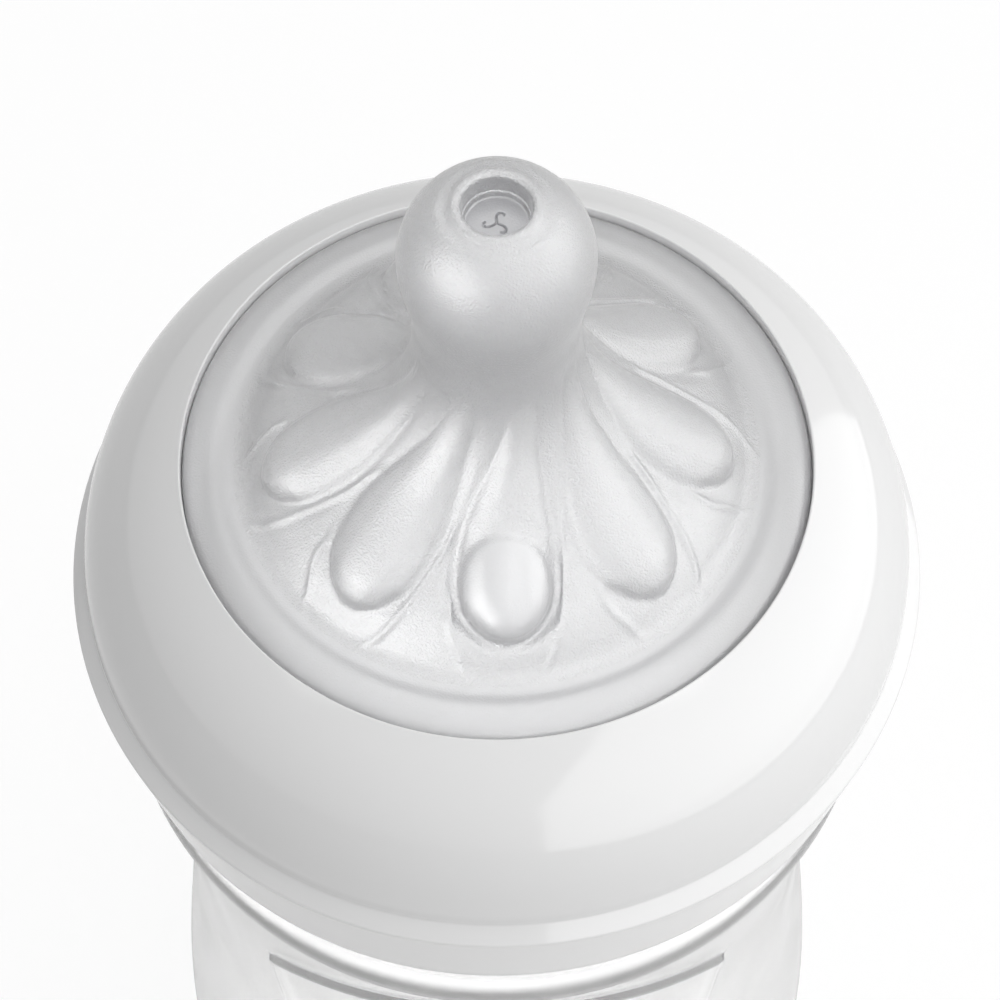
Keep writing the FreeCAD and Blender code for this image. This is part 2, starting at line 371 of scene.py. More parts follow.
def thread_relief():
    """A tree that raises the ridges of a screw thread on a round wall."""
    tree, given = geometry_tree("thread_relief", {
        "First Level": "Float", "First Angle": "Float", "Lead": "Float", "Starts": "Int",
        "Sweep": "Float", "Fade": "Float", "Depth": "Float", "Base": "Float", "Crest": "Float",
    })
    size = given.outputs
    place = add(tree, "ShaderNodeSeparateXYZ", {0: add(tree, "GeometryNodeInputPosition")})
    turn = add(tree, "ShaderNodeMath", {0: place.outputs["Y"], 1: place.outputs["X"]}, operation="ARCTAN2")
    from_start = add(tree, "ShaderNodeMath", {0: turn, 1: size["First Angle"]}, operation="SUBTRACT")
    sector = add(tree, "ShaderNodeMath", {0: FULL_TURN, 1: size["Starts"]}, operation="DIVIDE")
    along = add(tree, "ShaderNodeMath", {0: from_start, 1: sector, 2: 0.0}, operation="WRAP")
    turns = add(tree, "ShaderNodeMath", {0: along, 1: FULL_TURN}, operation="DIVIDE")
    centre = add(
        tree, "ShaderNodeMath",
        {0: turns, 1: size["Lead"], 2: size["First Level"]}, operation="MULTIPLY_ADD",
    )
    off = add(tree, "ShaderNodeMath", {0: place.outputs["Z"], 1: centre}, operation="SUBTRACT")
    off = add(tree, "ShaderNodeMath", {0: off}, operation="ABSOLUTE")
    half_crest = add(tree, "ShaderNodeMath", {0: size["Crest"], 1: 0.5}, operation="MULTIPLY")
    half_base = add(tree, "ShaderNodeMath", {0: size["Base"], 1: 0.5}, operation="MULTIPLY")
    flank = add(
        tree, "ShaderNodeMapRange",
        {
            "Value": off, "From Min": half_crest, "From Max": half_base,
            "To Min": size["Depth"], "To Max": 0.0,
        },
        interpolation_type="SMOOTHSTEP",
    )
    run_in = add(
        tree, "ShaderNodeMapRange",
        {"Value": along, "From Max": size["Fade"]}, interpolation_type="SMOOTHSTEP",
    )
    left = add(tree, "ShaderNodeMath", {0: size["Sweep"], 1: along}, operation="SUBTRACT")
    run_out = add(
        tree, "ShaderNodeMapRange",
        {"Value": left, "From Max": size["Fade"]}, interpolation_type="SMOOTHSTEP",
    )
    ends = add(tree, "ShaderNodeMath", {0: run_in, 1: run_out}, operation="MULTIPLY")
    height = add(tree, "ShaderNodeMath", {0: flank, 1: ends}, operation="MULTIPLY")
    zone = add(tree, "GeometryNodeInputNamedAttribute", {"Name": "thread"}, data_type="FLOAT")
    raise_skin(tree, given, height, zone)
    return tree


def line_relief():
    """A tree that raises or sinks a skin along thin lines, repeated round the axis."""
    tree, given = geometry_tree("line_relief", {
        "Lines": "Object", "Copies": "Int", "Zone": "String", "Width": "Float", "Height": "Float",
    })
    size = given.outputs
    lines = add(tree, "GeometryNodeObjectInfo", {"Object": size["Lines"]})
    points = add(tree, "GeometryNodeMeshLine", {"Count": size["Copies"], "Offset": (0, 0, 0)})
    sector = add(tree, "ShaderNodeMath", {0: FULL_TURN, 1: size["Copies"]}, operation="DIVIDE")
    number = add(tree, "GeometryNodeInputIndex")
    turn = add(tree, "ShaderNodeMath", {0: number, 1: sector}, operation="MULTIPLY")
    rotation = add(tree, "ShaderNodeCombineXYZ", {"Z": turn})
    copies = add(
        tree, "GeometryNodeInstanceOnPoints",
        {"Points": points, "Instance": lines.outputs["Geometry"], "Rotation": rotation},
    )
    real = add(tree, "GeometryNodeRealizeInstances", {0: copies})
    near = add(tree, "GeometryNodeProximity", {0: real}, target_element="EDGES")
    height = add(
        tree, "ShaderNodeMapRange",
        {
            "Value": near.outputs["Distance"], "From Min": 0.0, "From Max": size["Width"],
            "To Min": size["Height"], "To Max": 0.0,
        },
        interpolation_type="SMOOTHSTEP",
    )
    zone = add(tree, "GeometryNodeInputNamedAttribute", {"Name": size["Zone"]}, data_type="FLOAT")
    raise_skin(tree, given, height, zone)
    return tree


def petal_relief():
    """A tree that raises teardrop petals round a dome, and an egg-shaped pad on one of them."""
    tree, given = geometry_tree("petal_relief", {
        "Petal Count": "Int", "First Petal": "Float", "Twist": "Float", "Outer End": "Float",
        "Length": "Float", "Half Width": "Float", "Height": "Float",
        "Pad Middle": "Float", "Pad Half Width": "Float",
        "Pad Outer": "Float", "Pad Inner": "Float", "Pad Height": "Float",
    })
    size = given.outputs
    zone = add(tree, "GeometryNodeInputNamedAttribute", {"Name": "skin"}, data_type="FLOAT")
    place = add(tree, "ShaderNodeSeparateXYZ", {0: add(tree, "GeometryNodeInputPosition")})
    turn = add(tree, "ShaderNodeMath", {0: place.outputs["Y"], 1: place.outputs["X"]}, operation="ARCTAN2")
    turn = add(tree, "ShaderNodeMath", {0: turn, 1: size["First Petal"]}, operation="SUBTRACT")
    flat = add(tree, "ShaderNodeCombineXYZ", {"X": place.outputs["X"], "Y": place.outputs["Y"]})
    reach = add(tree, "ShaderNodeVectorMath", {0: flat}, operation="LENGTH").outputs["Value"]

    past_end = add(tree, "ShaderNodeMath", {0: size["Outer End"], 1: zone}, operation="SUBTRACT")
    share = add(
        tree, "ShaderNodeMath", {0: past_end, 1: size["Length"]}, operation="DIVIDE", use_clamp=True
    )
    bend = add(
        tree, "ShaderNodeFloatCurve", {"Value": share},
        curve=[(0, 0), (0.3, 0.02), (0.45, 0.09), (0.6, 0.28), (0.75, 0.58), (0.88, 0.86), (1, 1)],
    )
    bend = add(tree, "ShaderNodeMath", {0: bend, 1: size["Twist"]}, operation="MULTIPLY")
    from_middle = add(tree, "ShaderNodeMath", {0: turn, 1: bend}, operation="SUBTRACT")
    half_sector = add(tree, "ShaderNodeMath", {0: math.pi, 1: size["Petal Count"]}, operation="DIVIDE")
    other_half = add(tree, "ShaderNodeMath", {0: half_sector, 1: -1.0}, operation="MULTIPLY")
    folded = add(tree, "ShaderNodeMath", {0: from_middle, 1: half_sector, 2: other_half}, operation="WRAP")
    across = add(tree, "ShaderNodeMath", {0: folded, 1: reach}, operation="MULTIPLY")
    across = add(tree, "ShaderNodeMath", {0: across}, operation="ABSOLUTE")
    width = add(
        tree, "ShaderNodeFloatCurve", {"Value": share},
        curve=[
            (0, 0), (0.03, 0.42), (0.1, 0.78), (0.22, 0.99),
            (0.35, 0.96), (0.55, 0.7), (0.75, 0.4), (1, 0.2),
        ],
    )
    width = add(tree, "ShaderNodeMath", {0: width, 1: size["Half Width"]}, operation="MULTIPLY")
    width = add(tree, "ShaderNodeMath", {0: width, 1: 0.02 * MM}, operation="MAXIMUM")
    off = add(tree, "ShaderNodeMath", {0: across, 1: width}, operation="DIVIDE")
    off = add(tree, "ShaderNodeMath", {0: off, 1: 0.5}, operation="MULTIPLY", use_clamp=True)
    crown = add(
        tree, "ShaderNodeFloatCurve", {"Value": off},
        curve=[
            (0, 1), (0.15, 0.92), (0.3, 0.66), (0.41, 0.36), (0.48, 0.06),
            (0.53, -0.06), (0.62, -0.04), (0.72, 0), (1, 0),
        ],
    )
    fall = add(
        tree, "ShaderNodeFloatCurve", {"Value": share},
        curve=[(0, 0), (0.03, 0.4), (0.08, 0.78), (0.17, 1), (0.3, 0.92), (0.5, 0.64), (0.75, 0.3), (1, 0)],
    )
    petal = add(tree, "ShaderNodeMath", {0: crown, 1: fall}, operation="MULTIPLY")
    petal = add(tree, "ShaderNodeMath", {0: petal, 1: size["Height"]}, operation="MULTIPLY")

    front = add(tree, "ShaderNodeMath", {0: turn, 1: math.pi, 2: -math.pi}, operation="WRAP")
    pad_across = add(tree, "ShaderNodeMath", {0: front, 1: reach}, operation="MULTIPLY")
    pad_across = add(tree, "ShaderNodeMath", {0: pad_across, 1: size["Pad Half Width"]}, operation="DIVIDE")
    pad_along = add(tree, "ShaderNodeMath", {0: size["Pad Middle"], 1: zone}, operation="SUBTRACT")
    inner = add(tree, "ShaderNodeMath", {0: pad_along, 1: size["Pad Inner"]}, operation="DIVIDE")
    outer = add(tree, "ShaderNodeMath", {0: pad_along, 1: size["Pad Outer"]}, operation="DIVIDE")
    outer = add(tree, "ShaderNodeMath", {0: outer, 1: -1.0}, operation="MULTIPLY")
    pad_along = add(tree, "ShaderNodeMath", {0: inner, 1: outer}, operation="MAXIMUM")
    egg = add(tree, "ShaderNodeCombineXYZ", {"X": pad_across, "Y": pad_along})
    egg = add(tree, "ShaderNodeVectorMath", {0: egg}, operation="LENGTH").outputs["Value"]
    egg = add(tree, "ShaderNodeMath", {0: egg, 1: 0.5}, operation="MULTIPLY", use_clamp=True)
    pad = add(
        tree, "ShaderNodeFloatCurve", {"Value": egg},
        curve=[
            (0, 0.9), (0.25, 0.8), (0.4, 0.5), (0.46, 0.15), (0.5, -0.8),
            (0.55, -1.0), (0.64, -0.3), (0.74, 0), (1, 0),
        ],
    )
    open_end = add(
        tree, "ShaderNodeMapRange", {"Value": inner, "From Min": -1.0, "To Min": 1.0, "To Max": 0.15}
    )
    groove = add(tree, "ShaderNodeMath", {0: pad, 1: 0.0}, operation="MINIMUM")
    groove = add(tree, "ShaderNodeMath", {0: groove, 1: open_end}, operation="MULTIPLY")
    pad = add(tree, "ShaderNodeMath", {0: pad, 1: 0.0}, operation="MAXIMUM")
    pad = add(tree, "ShaderNodeMath", {0: pad, 1: groove}, operation="ADD")
    pad = add(tree, "ShaderNodeMath", {0: pad, 1: size["Pad Height"]}, operation="MULTIPLY")
    height = add(tree, "ShaderNodeMath", {0: petal, 1: pad}, operation="ADD")
    shiny = add(
        tree, "ShaderNodeMapRange",
        {"Value": egg, "From Min": 0.4, "From Max": 0.5, "To Min": 1.0, "To Max": 0.0},
    )
    raise_skin(tree, given, height, zone, shiny)
    return tree


def linear(colour):
    """A colour for a shader, from its sRGB hex value."""
    parts = [int(colour[i:i + 2], 16) / 255 for i in (1, 3, 5)]
    return [x / 12.92 if x <= 0.04045 else ((x + 0.055) / 1.055) ** 2.4 for x in parts] + [1]


def new_material(name):
    """An empty material's tree and its output node."""
    material = bpy.data.materials.new(name)
    material.use_nodes = True
    material.node_tree.nodes.clear()
    return material, material.node_tree, add(material.node_tree, "ShaderNodeOutputMaterial")


def white_polypropylene():
    """Moulded white polypropylene: a dense, slightly soft white under a clean gloss."""
    material, tree, output = new_material("moulded_white_polypropylene")
    place = add(tree, "ShaderNodeTexCoord").outputs["Object"]
    ripple = add(tree, "ShaderNodeTexNoise", {"Vector": place, "Scale": 1 / (6 * MM), "Detail": 2})
    bump = add(tree, "ShaderNodeBump", {"Strength": 0.05, "Distance": 0.05 * MM, "Height": ripple})
    gloss = add(tree, "ShaderNodeMapRange", {"Value": ripple, "To Min": 0.07, "To Max": 0.13})
    surface = add(tree, "ShaderNodeBsdfPrincipled", {
        "Base Color": linear("#f0f0f0"), "Roughness": gloss, "IOR": 1.58, "Normal": bump,
    })
    tree.links.new(surface.outputs[0], output.inputs["Surface"])
    return material


def clear_polypropylene():
    """Clear moulded polypropylene: colourless and glossy, a little misty in the wall."""
    material, tree, output = new_material("moulded_clear_polypropylene")
    place = add(tree, "ShaderNodeTexCoord").outputs["Object"]
    mist = add(tree, "ShaderNodeTexNoise", {"Vector": place, "Scale": 1 / (9 * MM), "Detail": 2})
    haze = add(tree, "ShaderNodeMapRange", {"Value": mist, "To Min": 0.14, "To Max": 0.26})
    ripple = add(tree, "ShaderNodeTexNoise", {"Vector": place, "Scale": 1 / (5 * MM), "Detail": 1})
    bump = add(tree, "ShaderNodeBump", {"Strength": 0.1, "Distance": 0.05 * MM, "Height": ripple})
    surface = add(tree, "ShaderNodeBsdfPrincipled", {
        "Base Color": linear("#fafafa"), "Roughness": haze, "IOR": 1.45, "Normal": bump,
        "Transmission Weight": 0.92,
    })
    tree.links.new(surface.outputs[0], output.inputs["Surface"])
    return material


def frosted_silicone():
    """Soft moulded silicone: milky and translucent, with a fine matt grain from its blasted mould."""
    material, tree, output = new_material("moulded_frosted_silicone")
    place = add(tree, "ShaderNodeTexCoord").outputs["Object"]
    grain_size, grain_depth = 0.17 * MM, 0.12 * MM  # coarser than the real grain, so that it shows
    grain = add(tree, "ShaderNodeTexNoise", {"Vector": place, "Scale": 1 / grain_size, "Detail": 1})
    polish = add(tree, "ShaderNodeAttribute", attribute_name="polish").outputs["Fac"]
    rim = add(tree, "ShaderNodeAttribute", attribute_name="rim").outputs["Fac"]
    # mask of the tip's recess floor, which gets painted shade and no grain
    shaded_recess_floor = add(tree, "ShaderNodeAttribute", attribute_name="floor").outputs["Fac"]
    shaded_recess_floor = add(tree, "ShaderNodeMath", {0: shaded_recess_floor, 1: 0.0}, operation="GREATER_THAN")
    rim = add(tree, "ShaderNodeMath", {0: rim, 1: 0.0}, operation="GREATER_THAN")
    plain = add(tree, "ShaderNodeMath", {0: polish, 1: rim}, operation="MAXIMUM")
    plain = add(tree, "ShaderNodeMath", {0: plain, 1: shaded_recess_floor}, operation="MAXIMUM")
    strength = add(tree, "ShaderNodeMapRange", {"Value": plain, "To Min": 1.0, "To Max": 0.25})
    bump = add(tree, "ShaderNodeBump", {"Strength": strength, "Distance": grain_depth, "Height": grain})
    softer = add(tree, "ShaderNodeMath", {0: strength, 1: 0.4}, operation="MULTIPLY")
    gloss_bump = add(tree, "ShaderNodeBump", {"Strength": softer, "Distance": grain_depth, "Height": grain})
    # painted shade: the recess floor at the tip is coloured a darker grey than the rest of the skin, for the
    # shade in the recess
    colour = add(
        tree, "ShaderNodeMix",
        {"Factor": shaded_recess_floor, "A": linear("#dcdcde"), "B": linear("#b4b4b8")}, data_type="RGBA",
    )
    surface = add(tree, "ShaderNodeBsdfPrincipled", {
        "Base Color": colour.outputs["Result"], "Roughness": 0.25, "IOR": 1.41,
        "Normal": bump, "Coat Normal": gloss_bump,
        "Subsurface Weight": 0.5, "Subsurface Radius": (1.0, 1.0, 1.0), "Subsurface Scale": 1.0 * MM,
        "Transmission Weight": 0.55, "Coat Weight": 1.0, "Coat IOR": 2.6, "Coat Roughness": 0.4,
        "Sheen Weight": 1.0, "Sheen Roughness": 0.32,
    })
    tree.links.new(surface.outputs[0], output.inputs["Surface"])
    return material


def studio_white():
    """Seamless studio paper: white to the eye, greyer through clear plastic and in gloss, softly shaded."""
    near, far = 0.2, 1.5        # metres from the object between which the paper turns pure white
    near_glow, through_glow, gloss_glow = 0.88, 0.76, 0.45
    material, tree, output = new_material("seamless_white_paper")
    rays = add(tree, "ShaderNodeLightPath").outputs
    seen = add(
        tree, "ShaderNodeMath",
        {0: rays["Is Camera Ray"], 1: rays["Is Transmission Ray"]}, operation="MAXIMUM",
    )
    place = add(tree, "ShaderNodeTexCoord").outputs["Object"]
    away = add(tree, "ShaderNodeVectorMath", {0: place}, operation="LENGTH").outputs["Value"]
    plain = add(
        tree, "ShaderNodeMapRange",
        {"Value": away, "From Min": near, "From Max": far, "To Min": near_glow, "To Max": 1.0},
        interpolation_type="SMOOTHSTEP",
    )
    glow = add(tree, "ShaderNodeMath", {0: rays["Is Glossy Ray"], 1: gloss_glow}, operation="MULTIPLY")
    for ray, share in (("Is Camera Ray", plain), ("Is Transmission Ray", through_glow)):
        glow = add(tree, "ShaderNodeMath", {0: rays[ray], 1: share, 2: glow}, operation="MULTIPLY_ADD")
    colour = add(
        tree, "ShaderNodeMix",
        {"Factor": seen, "A": linear("#c8c8c8"), "B": linear("#6a6a6a")}, data_type="RGBA",
    )
    paper = add(tree, "ShaderNodeBsdfDiffuse", {"Color": colour.outputs["Result"]})
    light = add(tree, "ShaderNodeEmission", {"Color": (1, 1, 1, 1), "Strength": glow})
    mixed = add(tree, "ShaderNodeAddShader", {0: paper, 1: light})
    tree.links.new(mixed.outputs[0], output.inputs["Surface"])
    return material


def ring_outline():
    """The ring's half section, from the lip over the dome and skirt to the bore and back."""
    skirt_level = ring_level + skirt_height
    bore_end = lip_level - seat_cone_height - bore_plain
    outside = rounded([
        (cap_seat_radius, cap_seat_top, 0),
        (cap_seat_radius, cap_seat_foot, ledge_rounding),
        (skirt_radius, skirt_level, skirt_rounding),
        (ring_foot_radius, ring_level, ring_foot_rounding),
        (ring_bore, ring_level, bore_rounding),
        (ring_bore, ring_level + bore_plain, 0),
    ], spacing=0.8)
    bore = rounded([(ring_bore, ring_level + bore_plain, 0), (ring_bore, bore_end, 0)], spacing=0.3)
    inside = rounded([
        (ring_bore, bore_end, 0),
        (ring_bore, bore_end + bore_plain, seat_rounding),
        (seat_radius, lip_level, lip_rounding),
        (opening_radius, lip_level, lip_rounding),
        (opening_radius, opening_level, opening_rounding),
        (opening_radius + opening_slope[0], opening_level + opening_slope[1], 0),
    ], spacing=0.8)
    dome = bulged(outside[0], inside[-1], -dome_bulge, steps=40)[::-1]
    runs = [(None, dome), (None, outside), ("thread", bore), (None, inside)]
    return [(zone, points, RING_COLUMNS) for zone, points in runs]


def teat_outline():
    """The teat's half section, from the middle of its tip down the outside and up the inside."""
    tip = tip_level - opening_level
    floor = tip - recess_depth
    reaches = np.concatenate([
        np.linspace(0, slit_reach, 25), np.linspace(slit_reach, recess_radius, 7)[1:],
    ])
    recess = np.stack([reaches, np.full(len(reaches), floor)], 1)
    lip_turn = math.asin(tip_lip_radius / bulb_radius)
    turns = np.linspace(lip_turn, math.pi / 2, 34)
    bulb = np.stack([bulb_radius * np.sin(turns), bulb_rise + bulb_radius * np.cos(turns)], 1)
    wall = rounded([
        (recess_radius, floor, 0),
        (recess_radius + 0.02, floor + 0.5, 0.1),
        (recess_radius + 0.15, floor + 0.58, 0.08),
        (recess_radius + 0.18, tip - 0.4, 0),
    ], spacing=0.12)
    lip = smooth([
        wall[-1], (recess_radius + 0.35, tip - 0.08), (recess_radius + 0.58, tip),
        (recess_radius + 0.82, tip - 0.06), (recess_radius + 1.15, tip - 0.34),
        (recess_radius + 1.5, tip - 0.5), bulb[0],
    ], UP, (math.cos(lip_turn), -math.sin(lip_turn)), spacing=0.12)
    neck = smooth([bulb[-1], (stem_radius, skin_top)], DOWN, DOWN, spacing=0.45)
    skin_end, end_way = (20.6, 0.02), (1, -0.15)
    skin = smooth([
        (stem_radius, skin_top), (stem_radius + 0.1, 16.0), (7.3, 12.7), (9.6, 9.2), (14.0, 5.2),
        (18.4, 1.95), (19.2, 1.05), (19.8, 0.4), skin_end,
    ], DOWN, end_way, spacing=0.27)
    rim = smooth([
        skin_end, (21.3, -0.1), (22.2, 0.0), (23.2, -0.18), (24.35, -0.6), (collar_radius, collar_top),
    ], end_way, DOWN, spacing=0.25)
    flange_top, flange_foot = lip_level - opening_level, rim_level - opening_level
    below = rounded([
        (collar_radius, collar_top, 0),
        (collar_radius, flange_top, collar_rounding),
        (flange_radius, flange_top, flange_rounding),
        (flange_radius, flange_foot, flange_rounding),
        (collar_radius - teat_wall, flange_foot, flange_rounding),
        (collar_radius - teat_wall, flange_top, 0),
    ], spacing=0.8)
    inner_bulb = bulb_radius - teat_wall
    inside = smooth([
        below[-1], (19.2, -1.6), (17.4, -0.1), (12.8, 3.5), (8.2, 7.5), (5.2, 12.0),
        (stem_radius - teat_wall, 16.0), (inner_bulb, bulb_rise), (0, floor - tip_wall),
    ], UP, INWARD, spacing=1.5)
    runs = [
        ("floor", recess, 1), (None, wall, 1), (None, lip, 1), (None, bulb, 1), (None, neck, 2),
        ("skin", skin, 4), ("rim", rim, 2), (None, below, 1), (None, inside, 1),
    ]
    return [(zone, points + (0, opening_level), fine * TEAT_COLUMNS) for zone, points, fine in runs]


def arc(centre, radius, start, end, steps):
    """Points on an arc of the half section, between two angles in degrees from outwards towards up."""
    turn = np.radians(np.linspace(start, end, steps + 1))
    return np.array(centre) + radius * np.stack([np.cos(turn), np.sin(turn)], 1)


def body_side(inset):
    """Points down the wavy side of the body, from the bead to the belly, moved into the wall by the inset."""
    knots = [(body_top_radius, body_top), (waist_radius, waist_height), (belly_radius, belly_height)]
    return smooth([(radius - inset, level) for radius, level in knots], (-0.06, -1), DOWN, spacing=0.5)


def bottle_outline():
    """The bottle's half section, from the floor inside up to the rim and down the outside to the base."""
    inner_belly = belly_radius - body_wall
    corner = base_corner - body_wall
    neck_foot = bead_height + bead_to_neck
    bead_place = (bead_centre, bead_height)
    inner_floor = rounded([
        (0, floor_level, 0),
        (inner_belly, floor_level, corner),
        (inner_belly, belly_height, 0),
    ], spacing=2.0)
    inner_side = body_side(body_wall)[::-4]
    inner_bead = arc(bead_place, bead_rounding - body_wall, -20, 50, steps=8)
    shoulder = smooth([inner_side[-1], *inner_bead, (neck_bore, neck_foot)], UP, UP, spacing=0.8)
    rim = rounded([
        (neck_bore, neck_foot, 0),
        (neck_bore, rim_level, rim_rounding),
        (rim_radius, rim_level, rim_rounding),
        (neck_radius, rim_level - rim_cone, 0),
    ], spacing=1.0)
    neck = rounded([
        (neck_radius, rim_level - rim_cone, 0),
        (neck_radius, neck_foot, neck_rounding),
        (bead_centre + bead_shoulder[0], bead_height + bead_shoulder[1], 0),
    ], spacing=0.4)
    bead = arc(bead_place, bead_rounding, 62, -25, steps=20)
    crease_knots = [bead[-1], crease_point, (body_top_radius, body_top)]
    crease = smooth(crease_knots, (-0.42, -0.9), DOWN, spacing=0.4)
    side = body_side(0)
    panel_top, panel_foot = panel_levels()
    levels = np.concatenate([
        np.linspace(body_top, panel_top + panel_step, 20), np.linspace(panel_top, panel_foot, 50),
        np.linspace(panel_foot - panel_step, belly_height, 14),
    ])
    body = np.stack([np.interp(-levels, -side[:, 1], side[:, 0]), levels], 1)
    base = rounded([
        (belly_radius, belly_height, 0),
        (belly_radius, 0, base_corner),
        (foot_radius - foot_width, 0, foot_rounding),
        (0, push_up, 0),
    ], spacing=2.0)
    runs = [
        (None, inner_floor, 1), (None, inner_side, 1), (None, shoulder, 1), (None, rim, 1),
        ("thread", neck, 2), (None, bead, 2), (None, crease, 2), ("body", body, 2), (None, base, 1),
    ]
    return [(zone, points, fine * BOTTLE_COLUMNS) for zone, points, fine in runs]


def panel_levels():
    """Levels of the front panel's upper and lower corners."""
    panel_top = bead_foot - panel_drop - panel_arch
    return panel_top, panel_top - panel_height


def cap_height(across, half_width, rise):
    """Height of a flat arch over its chord, at a distance from its middle."""
    radius = (half_width ** 2 + rise ** 2) / (2 * rise)
    return np.sqrt(np.maximum(radius ** 2 - np.minimum(np.abs(across), half_width) ** 2, 0)) - radius + rise


def press_panel(piece, side):
    """Raises the front panel. The rows and columns of the mesh are first drawn along its edges."""
    mesh = piece.data
    places = np.empty(len(mesh.vertices) * 3)
    mesh.vertices.foreach_get("co", places)
    places = places.reshape(-1, 3) / MM
    zone = np.empty(len(places))
    mesh.attributes["body"].data.foreach_get("value", zone)
    turn = np.arctan2(places[:, 0], -places[:, 1])
    chosen = (zone >= 0) & (np.abs(turn) < PANEL_FIELD)
    turn, level = turn[chosen], places[chosen, 2]
    panel_top, panel_foot = panel_levels()
    step = FULL_TURN / (2 * BOTTLE_COLUMNS)
    edge = PANEL_COLUMNS * step
    radius = np.interp(-level, -side[:, 1], side[:, 0])
    half_width = np.interp(level, (panel_foot, panel_top), (panel_foot_half_width, panel_half_width))
    edge_turn = np.arcsin(half_width / radius)
    past = np.abs(turn) - edge
    drawn = np.where(
        past < step / 2,
        np.abs(turn) / edge * edge_turn,
        edge_turn + panel_step / radius
        + (past - step) / (PANEL_FIELD - edge - step) * (PANEL_FIELD - edge_turn - panel_step / radius),
    ) * np.sign(turn)
    across = radius * np.sin(drawn)
    near_top = np.interp(level, (panel_foot, panel_top, body_top), (0, 1, 0))
    near_foot = np.interp(level, (belly_height, panel_foot, panel_top), (0, 1, 0))
    moved = level + cap_height(across, panel_half_width, panel_arch) * near_top
    moved -= cap_height(across, panel_foot_half_width, panel_sag) * near_foot
    between = (level < panel_top + PANEL_SLACK) & (level > panel_foot - PANEL_SLACK)
    inside = (np.abs(turn) < edge + step / 2) & between
    radius = np.interp(-moved, -side[:, 1], side[:, 0]) + panel_rise * inside
    places[chosen] = np.stack([radius * np.sin(drawn), -radius * np.cos(drawn), moved], 1)
    mesh.vertices.foreach_set("co", (places * MM).ravel())
    mesh.update()


def make_bottle(thread):
    piece = lathe("bottle_shell", bottle_outline())
    press_panel(piece, body_side(0))
    run_tree(piece, thread, {
        "Material": clear_polypropylene(), "First Level": (ring_level + thread_lift) * MM,
        "First Angle": 0.0, "Lead": thread_lead * MM, "Starts": thread_starts,
        "Sweep": math.radians(thread_sweep), "Fade": math.radians(thread_fade), "Depth": thread_depth * MM,
        "Base": thread_base * MM, "Crest": thread_crest * MM,
    })
    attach(piece, "bottle")
    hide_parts("bottle")
    return piece


def skin_line(ends, sink, outline):
    """Points on the teat's skin along the smooth line through (degrees, reach) ends, sinking at both tips."""
    even = (0.2, 1)             # about the millimetres of a degree and of a reach
    tip_points = 6
    knots = np.array(ends, float)
    line = smooth(knots * even, knots[1] - knots[0], knots[-1] - knots[-2], spacing=0.25) / even
    turn = np.radians(line[:, 0])
    level = np.interp(line[:, 1], outline[:, 0], outline[:, 1])
    from_tip = np.minimum(np.arange(len(line)), np.arange(len(line))[::-1])
    level = level - sink * np.clip(1 - from_tip / tip_points, 0, 1)
    return np.stack([line[:, 1] * np.cos(turn), line[:, 1] * np.sin(turn), level], 1)


def line_object(name, lines):
    """Lines in space as one object of bare edges."""
    places = np.concatenate(lines) * MM
    edges = []
    first = 0
    for line in lines:
        edges += [(first + i, first + i + 1) for i in range(len(line) - 1)]
        first += len(line)
    mesh = bpy.data.meshes.new(name)
    mesh.from_pydata(places, edges, [])
    made = bpy.data.objects.new(name, mesh)
    bpy.context.scene.collection.objects.link(made)
    return made


def make_teat():
    silicone = frosted_silicone()
    runs = teat_outline()
    piece = lathe("teat_skin", runs)
    skin = next(points for zone, points, _ in runs if zone == "skin")
    lengths = np.linalg.norm(np.diff(skin, axis=0, prepend=skin[:1]), axis=1).cumsum()
    middle = math.degrees(FRONT) + petal_turn
    ribs = [
        [(-7, 20.3), (-10.5, 19.2), (-14, 17.5), (-16.5, 15.2)],
        [(3, 20.5), (13, 17.5), (17.5, 14.4), (21, 12.1), (25, 10.6)],
    ]
    ribs = [skin_line([(middle + turn, reach) for turn, reach in rib], rib_width, skin) for rib in ribs]
    rib_lines = line_object("rib_lines", ribs)
    lines = line_relief()
    run_tree(piece, lines, {
        "Material": silicone, "Lines": rib_lines, "Copies": petal_count, "Zone": "skin",
        "Width": rib_width * MM, "Height": rib_height * MM,
    })
    bpy.data.objects.remove(rib_lines)
    arm_knots = [(0, 0), (0.4, 0.03), (0.7, -0.02), (0.88, -0.2), (0.86, -0.42), (0.68, -0.5)]
    arm = smooth(arm_knots, OUTWARD, (-1, 0.2), spacing=0.04)
    floor = tip_level - recess_depth
    slit = line_object("slit_lines", [np.stack([-arm[:, 1], arm[:, 0], np.full(len(arm), floor)], 1)])
    run_tree(piece, lines, {
        "Material": silicone, "Lines": slit, "Copies": slit_arms, "Zone": "floor",
        "Width": slit_width * MM, "Height": -slit_depth * MM,
    })
    bpy.data.objects.remove(slit)
    outer_end = np.interp(petal_outer_reach, skin[:, 0], lengths)
    pad_middle = np.interp(pad_reach, skin[:, 0], lengths)
    run_tree(piece, petal_relief(), {
        "Material": silicone, "Petal Count": petal_count, "First Petal": math.radians(middle),
        "Twist": math.radians(petal_twist), "Outer End": outer_end * MM, "Length": petal_length * MM,
        "Half Width": petal_half_width * MM, "Height": petal_height * MM, "Pad Middle": pad_middle * MM,
        "Pad Half Width": pad_half_width * MM, "Pad Outer": pad_outer_length * MM,
        "Pad Inner": pad_inner_length * MM, "Pad Height": pad_height * MM,
    })
    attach(piece, "teat")
    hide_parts("teat")
    return piece


def make_ring(thread):
    piece = lathe("ring_shell", ring_outline())
    run_tree(piece, thread, {
        "Material": white_polypropylene(), "First Level": (ring_level + thread_lift) * MM,
        "First Angle": FULL_TURN / thread_starts / 2, "Lead": thread_lead * MM, "Starts": thread_starts,
        "Sweep": math.radians(thread_sweep), "Fade": math.radians(thread_fade), "Depth": thread_depth * MM,
        "Base": thread_base * MM, "Crest": thread_crest * MM,
    })
    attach(piece, "screw_ring")
    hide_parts("screw_ring")
    return piece


